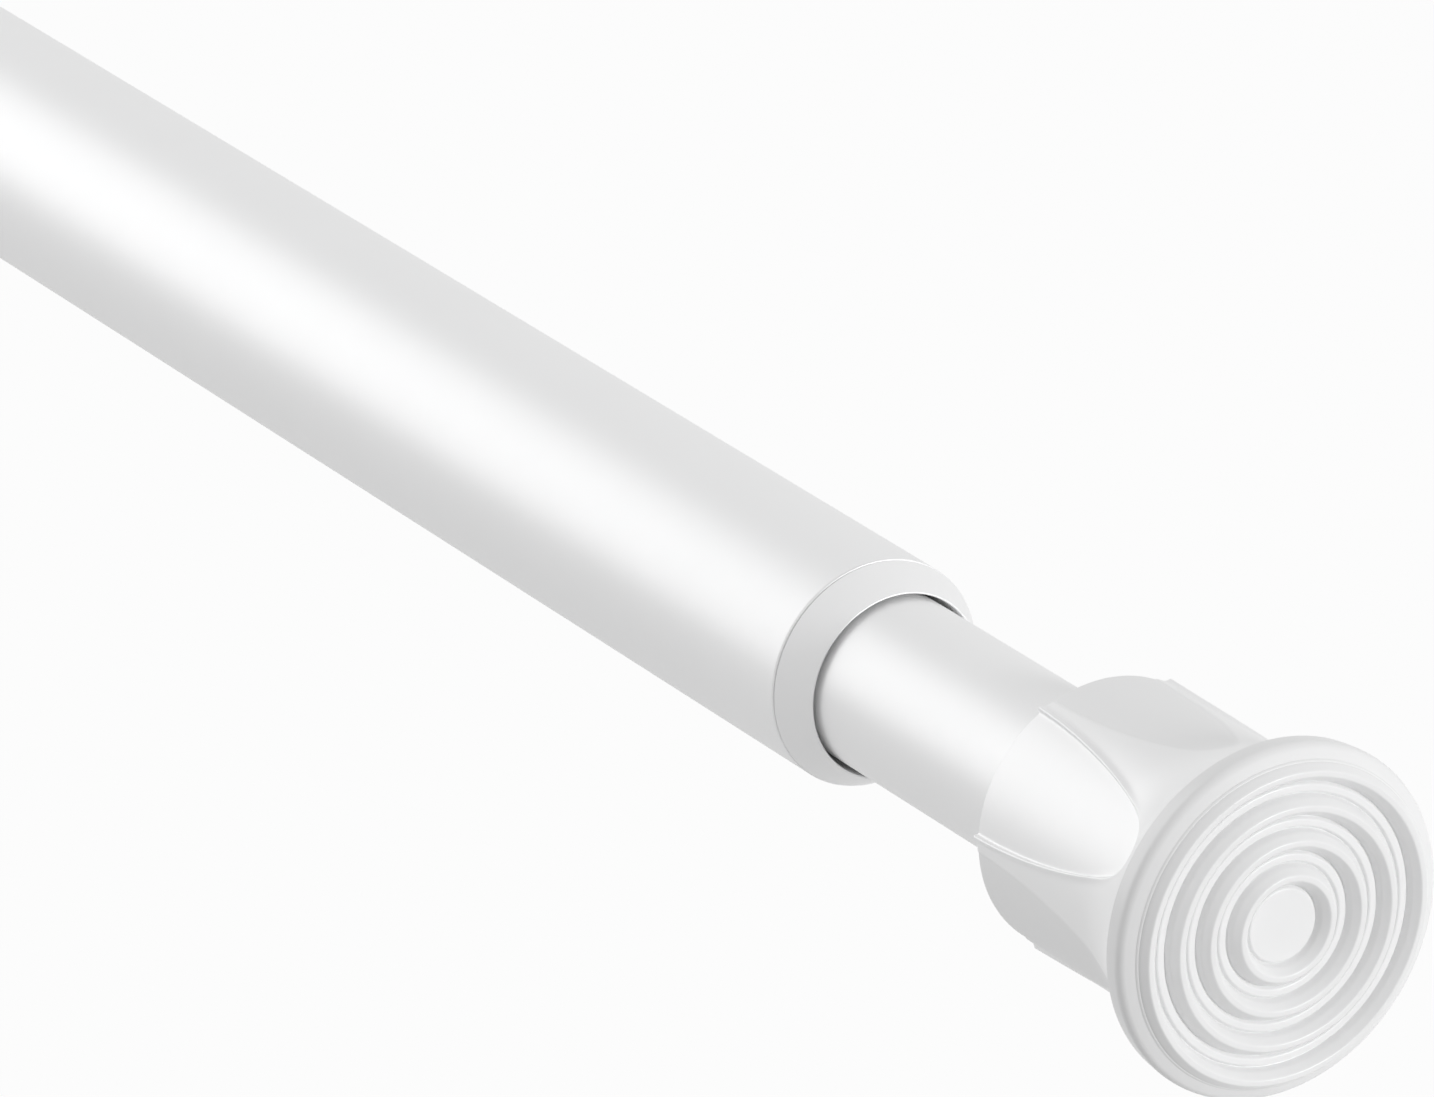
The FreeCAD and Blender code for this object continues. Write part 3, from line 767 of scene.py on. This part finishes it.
def ribbed_face_tree(sizes):
    """A grid bent into a disc, with X as turn and Y as radius, and raised into rings of ribs."""
    tree, start, end = geometry_tree("ribbed_face", sizes)
    size = start.outputs
    grid = tree.add("GeometryNodeMeshGrid")
    columns = tree.math("ADD", size["Segments"], 1)
    tree.link(columns, grid.inputs["Vertices X"])
    tree.link(size["Rows"], grid.inputs["Vertices Y"])
    place = tree.add("ShaderNodeSeparateXYZ")
    position = tree.add("GeometryNodeInputPosition")
    tree.link(position.outputs[0], place.inputs[0])
    turn = tree.math("MULTIPLY", tree.math("ADD", place.outputs["X"], GRID_HALF), 2 * math.pi)
    radius = tree.math("MULTIPLY", tree.math("ADD", place.outputs["Y"], GRID_HALF), size["Face Radius"])
    beyond = tree.math("SUBTRACT", radius, size["First Radius"])
    nearest = tree.math("ROUND", tree.math("DIVIDE", beyond, size["Pitch"]))
    last = tree.math("SUBTRACT", size["Rib Count"], 1)
    rib = tree.math("MAXIMUM", tree.math("MINIMUM", nearest, last), 0.0)
    off = tree.math("ABSOLUTE", tree.math("SUBTRACT", beyond, tree.math("MULTIPLY", rib, size["Pitch"])))
    half_foot = tree.math("MULTIPLY", size["Foot Width"], 0.5)
    flank = tree.math("SUBTRACT", half_foot, tree.math("MULTIPLY", size["Crest Width"], 0.5))
    slope = tree.math("DIVIDE", size["Rib Height"], flank)
    ramp = tree.math("MULTIPLY", tree.math("SUBTRACT", half_foot, off), slope)
    topped = tree.math("SMOOTH_MIN", ramp, size["Rib Height"], size["Crest Softness"])
    height = tree.math("SMOOTH_MAX", topped, 0.0, size["Foot Softness"])
    beside = tree.math("DIVIDE", tree.math("SUBTRACT", off, half_foot), size["Groove Width"])
    dip = tree.math("EXPONENT", tree.math("MULTIPLY", tree.math("MULTIPLY", beside, beside), -1.0))
    groove = tree.math("MULTIPLY", dip, size["Groove Depth"])
    seam = tree.math("SUBTRACT", size["Face Radius"], size["Groove Width"])
    within = tree.math("LESS_THAN", radius, seam)
    height = tree.math("SUBTRACT", height, tree.math("MULTIPLY", groove, within))
    x = tree.math("SUBTRACT", size["Valley"], height)
    y = tree.math("MULTIPLY", radius, tree.math("COSINE", turn))
    z = tree.math("MULTIPLY", radius, tree.math("SINE", turn))
    point = tree.add("ShaderNodeCombineXYZ")
    for value, socket in zip((x, y, z), point.inputs):
        tree.link(value, socket)
    bend = tree.add("GeometryNodeSetPosition")
    tree.link(grid.outputs["Mesh"], bend.inputs["Geometry"])
    tree.link(point.outputs[0], bend.inputs["Position"])
    join = tree.add("GeometryNodeJoinGeometry")
    tree.link(start.outputs["Geometry"], join.inputs[0])
    tree.link(bend.outputs["Geometry"], join.inputs[0])
    merge = tree.add("GeometryNodeMergeByDistance")
    merge.inputs["Distance"].default_value = FACE_SEAM
    tree.link(join.outputs[0], merge.inputs["Geometry"])
    end_tree(tree, start, end, merge.outputs["Geometry"])
    return tree


def pad_sizes():
    pad = settings().pad
    return {
        "Rib Count": pad.rib_count,
        "First Radius": pad.rib_first,
        "Pitch": pad.rib_pitch,
        "Rib Height": pad.rib_height,
        "Crest Width": pad.rib_crest,
        "Foot Width": pad.rib_foot,
        "Crest Softness": pad.crest_softness,
        "Foot Softness": pad.foot_softness,
        "Groove Depth": pad.groove_depth,
        "Groove Width": pad.groove_width,
        "Face Radius": face_radius(),
        "Valley": PAD_FACE + pad.rib_height,
        "Segments": pad.segments,
        "Rows": pad.face_rows,
    }


# Spring and sleeve of the lock


def coil_tree(sizes, turn_steps=48, wire_sides=16):
    """A round wire wound into a coil along the rod."""
    tree, start, end = geometry_tree("wire_coil", sizes)
    size = start.outputs
    spiral = tree.add("GeometryNodeCurveSpiral")
    spiral.inputs["Resolution"].default_value = turn_steps
    tree.link(size["Turns"], spiral.inputs["Rotations"])
    tree.link(size["Coil Radius"], spiral.inputs["Start Radius"])
    tree.link(size["Coil Radius"], spiral.inputs["End Radius"])
    tree.link(size["Coil Length"], spiral.inputs["Height"])
    lay = tree.add("GeometryNodeTransform")
    lay.inputs["Rotation"].default_value = (0.0, math.pi / 2, 0.0)
    place = tree.add("ShaderNodeCombineXYZ")
    tree.link(size["Start"], place.inputs["X"])
    tree.link(place.outputs[0], lay.inputs["Translation"])
    tree.link(spiral.outputs["Curve"], lay.inputs["Geometry"])
    section = tree.add("GeometryNodeCurvePrimitiveCircle")
    section.inputs["Resolution"].default_value = wire_sides
    tree.link(size["Wire Radius"], section.inputs["Radius"])
    sweep = tree.add("GeometryNodeCurveToMesh")
    sweep.inputs["Fill Caps"].default_value = True
    tree.link(lay.outputs["Geometry"], sweep.inputs["Curve"])
    tree.link(section.outputs["Curve"], sweep.inputs["Profile Curve"])
    end_tree(tree, start, end, sweep.outputs["Mesh"])
    return tree


def expansion_sleeve(finger_columns=20, slit_columns=4):
    """The lock's sleeve: a ring with fingers that stand open by the room the drawn cone needs."""
    lock = settings().lock
    radius = math.hypot(SLEEVE_REACH, lock.finger_slit / 2)
    root = SLEEVE_START + lock.finger_length
    mouth = lock.cone_mouth + lock.spread
    narrow = mouth - lock.finger_length * math.tan(lock.cone_half_angle)
    chamfer = lock.sleeve_chamfer
    outline = [
        (SLEEVE_START, mouth),
        (SLEEVE_START, radius - chamfer),
        (SLEEVE_START + chamfer, radius),
        (root, radius),
        (SLEEVE_END - chamfer, radius),
        (SLEEVE_END, radius - chamfer),
        (SLEEVE_END, lock.sleeve_bore),
        (root, lock.sleeve_bore),
        (root, narrow),
    ]
    tip_points = 3
    whole = list(range(len(outline)))
    ring = whole[tip_points:]
    side = whole[:tip_points + 1] + whole[-1:]
    step = 2 * math.pi / lock.finger_count
    vertices = []
    faces = []
    total = lock.finger_count * (finger_columns + slit_columns) * len(outline)

    def corner(column, place):
        return (column * len(outline) + place) % total

    for k in range(lock.finger_count):
        for column in range(finger_columns + slit_columns):
            here = k * (finger_columns + slit_columns) + column
            in_slit = column - finger_columns
            for place in whole:
                x, r = outline[max(place, tip_points) if in_slit > 0 else place]
                edge = math.asin(lock.finger_slit / 2 / r)
                if in_slit > 0:
                    turn = step * (k + 1) - edge + 2 * edge * in_slit / slit_columns
                else:
                    turn = step * k + edge + (step - 2 * edge) * column / finger_columns
                vertices.append((x, r * math.cos(turn), r * math.sin(turn)))
            loop = ring if in_slit >= 0 else whole
            for a, b in zip(loop, loop[1:] + loop[:1]):
                faces.append((corner(here, a), corner(here, b), corner(here + 1, b), corner(here + 1, a)))
            if in_slit == 0 or column == 0:
                faces.append([corner(here, place) for place in side])
    return new_piece("expansion_sleeve_fingers", vertices, faces)


# Operators


class ROD_OT_tubes(bpy.types.Operator):
    """Makes the two painted tubes"""

    bl_idname = "rod.tubes"
    bl_label = "Tubes"

    def execute(self, context):
        outer_end = OUTER_END - settings().collar.set_back
        outer = tube("outer_tube_painted", OUTER_START, outer_end, OUTER_RADIUS)
        inner = tube("inner_tube_painted", INNER_START, INNER_END, INNER_RADIUS)
        dress(outer, "outer", "outer_tube", "tube_paint")
        dress(inner, "inner", "inner_tube", "tube_paint")
        return {"FINISHED"}


class ROD_OT_collar(bpy.types.Operator):
    """Makes the collar in the mouth of the outer tube"""

    bl_idname = "rod.collar"
    bl_label = "Collar"

    def execute(self, context):
        dress(collar(), "outer", "tube_collar", "cap_plastic")
        return {"FINISHED"}


class ROD_OT_hubs(bpy.types.Operator):
    """Makes the moulded hub at each end"""

    bl_idname = "rod.hubs"
    bl_label = "End hubs"

    def execute(self, context):
        hub = settings().hub
        points, faces, matte = hub_shape(hub, OUTER_RADIUS + hub.fit)
        outer = new_piece("outer_end_hub_moulded", turned(points, hub.outer_turn), faces, matte)
        points, faces, matte = hub_shape(hub, INNER_RADIUS + hub.fit)
        points = at_inner_end(turned(points, hub.inner_turn))
        inner = new_piece("inner_end_hub_moulded", points, faces, matte)
        dress(outer, "outer", "outer_end_hub", "cap_plastic")
        dress(inner, "inner", "inner_end_hub", "cap_plastic")
        return {"FINISHED"}


class ROD_OT_pads(bpy.types.Operator):
    """Makes the ribbed wall pad at each end"""

    bl_idname = "rod.pads"
    bl_label = "Wall pads"

    def execute(self, context):
        sizes = pad_sizes()
        tree = ribbed_face_tree(sizes)
        for body, node in (("outer", "outer_end_pad"), ("inner", "inner_end_pad")):
            name = node + "_ribbed"
            vertices, faces = pad_shell()
            pad = new_piece(name, vertices, faces)
            grow(pad, tree, sizes, finish_material("pad_rubber"), PAD_SMOOTH_ANGLE)
            if body == "inner":
                points = at_inner_end([v.co for v in pad.data.vertices])
                pad.data.vertices.foreach_set("co", points.ravel())
                pad.data.update()
            dress(pad, body, node, "pad_rubber")
        return {"FINISHED"}


class ROD_OT_spring(bpy.types.Operator):
    """Winds the compression spring"""

    bl_idname = "rod.spring"
    bl_label = "Spring"

    def execute(self, context):
        lock = settings().lock
        sizes = {
            "Turns": float(lock.turns),
            "Coil Radius": SPRING_RADIUS - lock.wire_radius,
            "Coil Length": SPRING_END - SPRING_START - 2 * lock.wire_radius,
            "Wire Radius": lock.wire_radius,
            "Start": SPRING_START + lock.wire_radius,
        }
        name = "compression_spring_coil"
        coil = add_object(name, bpy.data.meshes.new(name))
        grow(coil, coil_tree(sizes), sizes, finish_material("spring_steel"), SPRING_SMOOTH_ANGLE)
        dress(coil, "screw", "compression_spring", "spring_steel")
        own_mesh(coil)
        return {"FINISHED"}


class ROD_OT_sleeve(bpy.types.Operator):
    """Makes the lock's slit expansion sleeve"""

    bl_idname = "rod.sleeve"
    bl_label = "Expansion sleeve"

    def execute(self, context):
        dress(expansion_sleeve(), "lock", "expansion_sleeve", "guide_plastic")
        return {"FINISHED"}


class ROD_OT_lock(bpy.types.Operator):
    """Gives the lock's pieces inside the tubes their finishes"""

    bl_idname = "rod.lock"
    bl_label = "Lock inside"

    def execute(self, context):
        for part in frame["record"]["subparts"]:
            piece = frame["nodes"][part["node"]]
            if piece.hide_render:
                continue
            piece.data.materials.clear()
            piece.data.materials.append(finish_material(part["material_slot"]))
        return {"FINISHED"}


class ROD_OT_stage(bpy.types.Operator):
    """Makes the floor, the light and the camera"""

    bl_idname = "rod.stage"
    bl_label = "Stage"

    def execute(self, context):
        make_floor()
        make_world()
        make_lights()
        make_camera()
        bpy.context.scene.view_settings.view_transform = "Standard"
        return {"FINISHED"}


def sees_white(tree):
    """A mask of the rays that see white: those from the camera, off gloss or through glass."""
    ray = tree.add("ShaderNodeLightPath").outputs
    shiny = tree.math("MAXIMUM", ray["Is Glossy Ray"], ray["Is Transmission Ray"])
    return tree.math("MAXIMUM", ray["Is Camera Ray"], shiny)


def make_floor():
    stage = settings().stage
    half = stage.floor_half
    z = -stage.floor_drop
    corners = [(-half, -half, z), (half, -half, z), (half, half, z), (-half, half, z)]
    mesh = bpy.data.meshes.new("studio_floor")
    mesh.from_pydata(corners, [], [(0, 1, 2, 3)])
    floor = add_object("studio_floor", mesh)
    material = bpy.data.materials.new("studio_floor")
    material.use_nodes = True
    tree = Tree(material.node_tree)
    tree.tree.nodes.clear()
    matte = tree.add("ShaderNodeBsdfDiffuse")
    matte.inputs["Color"].default_value = (stage.floor_shade, stage.floor_shade, stage.floor_shade, 1.0)
    glow = tree.add("ShaderNodeEmission")
    glow.inputs["Color"].default_value = WHITE
    mix = tree.add("ShaderNodeMixShader")
    out = tree.add("ShaderNodeOutputMaterial")
    tree.link(tree.math("MULTIPLY", sees_white(tree), stage.floor_white), mix.inputs["Fac"])
    tree.link(matte.outputs[0], mix.inputs[1])
    tree.link(glow.outputs[0], mix.inputs[2])
    tree.link(mix.outputs[0], out.inputs["Surface"])
    mesh.materials.append(material)


def make_world():
    stage = settings().stage
    world = bpy.data.worlds.new("studio")
    bpy.context.scene.world = world
    world.use_nodes = True
    tree = Tree(world.node_tree)
    tree.tree.nodes.clear()
    room = tree.add("ShaderNodeBackground")
    room.inputs["Color"].default_value = WHITE
    direction = tree.add("ShaderNodeTexCoord")
    split = tree.add("ShaderNodeSeparateXYZ")
    tree.link(direction.outputs["Generated"], split.inputs[0])
    strength = tree.math("MULTIPLY_ADD", split.outputs["Z"], stage.ambient_rise, stage.ambient)
    tree.link(strength, room.inputs["Strength"])
    white = tree.add("ShaderNodeBackground")
    white.inputs["Color"].default_value = WHITE
    mix = tree.add("ShaderNodeMixShader")
    out = tree.add("ShaderNodeOutputWorld")
    tree.link(sees_white(tree), mix.inputs["Fac"])
    tree.link(room.outputs[0], mix.inputs[1])
    tree.link(white.outputs[0], mix.inputs[2])
    tree.link(mix.outputs[0], out.inputs["Surface"])


def make_lights():
    aim = Vector((settings().stage.target, 0.0, 0.0))
    lamps = {
        # name: place from the aim in metres, width, height, watts
        "key_softbox": ((-1.5, -1.05, 0.80), 2.0, 1.8, 13.2),
        "face_softbox": ((1.34, 0.63, 0.23), 0.33, 0.33, 11.0),
    }
    for name, (place, width, height, watts) in lamps.items():
        lamp = bpy.data.lights.new(name, "AREA")
        lamp.shape = "RECTANGLE"
        lamp.size = width
        lamp.size_y = height
        lamp.energy = watts
        holder = add_object(name, lamp)
        holder.location = aim + Vector(place)
        holder.rotation_euler = Vector(place).to_track_quat("Z", "Y").to_euler()


def make_camera():
    """The camera at the photograph's angle, aimed along the ray through the middle of the image."""
    stage = settings().stage
    turn, lift = stage.azimuth, stage.elevation
    toward = Vector((math.sin(turn) * math.cos(lift), -math.cos(turn) * math.cos(lift), math.sin(lift)))
    right = Vector((math.cos(turn), math.sin(turn), 0.0))
    up = toward.cross(right)
    across = (IMAGE_WIDTH / 2 - stage.target_column) / stage.focal_pixels
    down = (IMAGE_HEIGHT / 2 - stage.target_row) / stage.focal_pixels
    back = (toward - right * across + up * down).normalized()
    side = (right - back * right.dot(back)).normalized()
    camera = bpy.data.cameras.new("camera")
    camera.sensor_fit = "HORIZONTAL"
    camera.sensor_width = SENSOR_WIDTH
    camera.lens = stage.focal_pixels / IMAGE_WIDTH * SENSOR_WIDTH
    camera.clip_start = CLIP_START
    camera.clip_end = CLIP_END
    holder = add_object("camera", camera)
    holder.location = Vector((stage.target, 0.0, 0.0)) + toward * stage.distance
    holder.rotation_euler = Matrix((side, back.cross(side), back)).transposed().to_euler()
    bpy.context.scene.camera = holder


class ROD_PT_panel(bpy.types.Panel):
    """Lists the rod's pieces"""

    bl_label = "Spring tension rod"
    bl_idname = "ROD_PT_panel"
    bl_space_type = "VIEW_3D"
    bl_region_type = "UI"
    bl_category = "Rod"

    def draw(self, context):
        for operator in OPERATORS:
            self.layout.operator(operator.bl_idname)


GROUPS = (TubeSizes, CollarSizes, HubSizes, PadSizes, LockSizes, Finish, Stage, RodSettings)
OPERATORS = (
    ROD_OT_tubes,
    ROD_OT_collar,
    ROD_OT_hubs,
    ROD_OT_pads,
    ROD_OT_spring,
    ROD_OT_sleeve,
    ROD_OT_lock,
    ROD_OT_stage,
)
CLASSES = (*GROUPS, *OPERATORS, ROD_PT_panel)


def register():
    for item in CLASSES:
        bpy.utils.register_class(item)
    bpy.types.Scene.rod = PointerProperty(type=RodSettings)


def unregister():
    del bpy.types.Scene.rod
    for item in reversed(CLASSES):
        bpy.utils.unregister_class(item)


def main():
    register()
    bpy.ops.rod.tubes()
    bpy.ops.rod.collar()
    bpy.ops.rod.hubs()
    bpy.ops.rod.pads()
    bpy.ops.rod.spring()
    bpy.ops.rod.sleeve()
    bpy.ops.rod.lock()
    bpy.ops.rod.stage()


if __name__ == "__main__":
    main()
